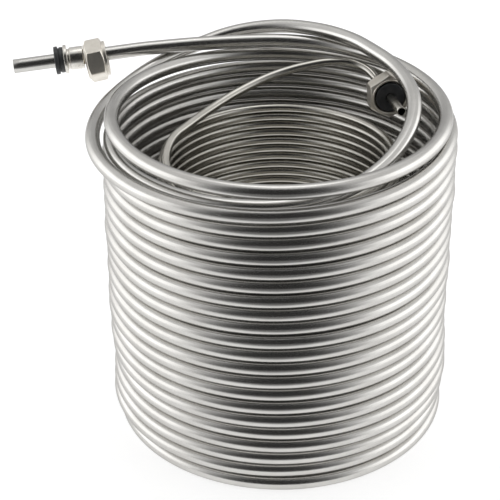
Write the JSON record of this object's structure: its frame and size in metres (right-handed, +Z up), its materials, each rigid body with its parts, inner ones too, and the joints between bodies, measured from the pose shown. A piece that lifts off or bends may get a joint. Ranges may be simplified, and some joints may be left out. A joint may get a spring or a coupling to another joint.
{
  "type": "immersion wort chiller",
  "caption": "Double stainless cooling coil, a narrow coil inside a wide one, with a loose hex coupling nut, flanged ferrule and rubber washer on each free tube end.",
  "frame": {"origin": "on the coils' axis, in the plane that the bottom turn stands on", "axes": "+Z up along the coils' axis, -Y the front, the inlet end points to -X"},
  "size_m": [0.3005, 0.2383, 0.24],
  "materials": {
    "tube_steel": "bright drawn stainless",
    "fitting_steel": "polished stainless",
    "nut_metal": "bright nickel plate over brass",
    "braze": "silver braze, satin",
    "black_rubber": "matt"
  },
  "bodies": {
    "coil": {"outer_coil_tube": "tube_steel", "inner_coil_tube": "tube_steel", "reducer_sleeve": "fitting_steel", "sleeve_braze_wide": "braze", "sleeve_braze_narrow": "braze", "inlet_ferrule": "fitting_steel", "inlet_braze_ring": "braze", "outlet_ferrule": "fitting_steel", "outlet_braze_ring": "braze"},
    "inlet_nut": {"inlet_nut": "nut_metal"},
    "inlet_washer": {"inlet_washer": "black_rubber"},
    "outlet_nut": {"outlet_nut": "nut_metal"},
    "outlet_washer": {"outlet_washer": "black_rubber"}
  },
  "joints": [
    {"name": "inlet_nut_slide", "type": "slide", "parent": "coil", "child": "inlet_nut", "axis": [-0.9852, -0.1424, -0.095], "range_m": [-0.013, 0]},
    {"name": "inlet_washer_slide", "type": "slide", "parent": "coil", "child": "inlet_washer", "axis": [-0.9852, -0.1424, -0.095], "range_m": [0, 0.036]},
    {"name": "outlet_nut_spin", "type": "hinge", "parent": "coil", "child": "outlet_nut", "pos_m": [0.0724, 0.0394, 0.2138], "axis": [0.1912, -0.9764, 0.1007], "continuous": true},
    {"name": "outlet_washer_slide", "type": "slide", "parent": "coil", "child": "outlet_washer", "axis": [0.1912, -0.9764, 0.1007], "range_m": [0, 0.0285]}
  ]
}
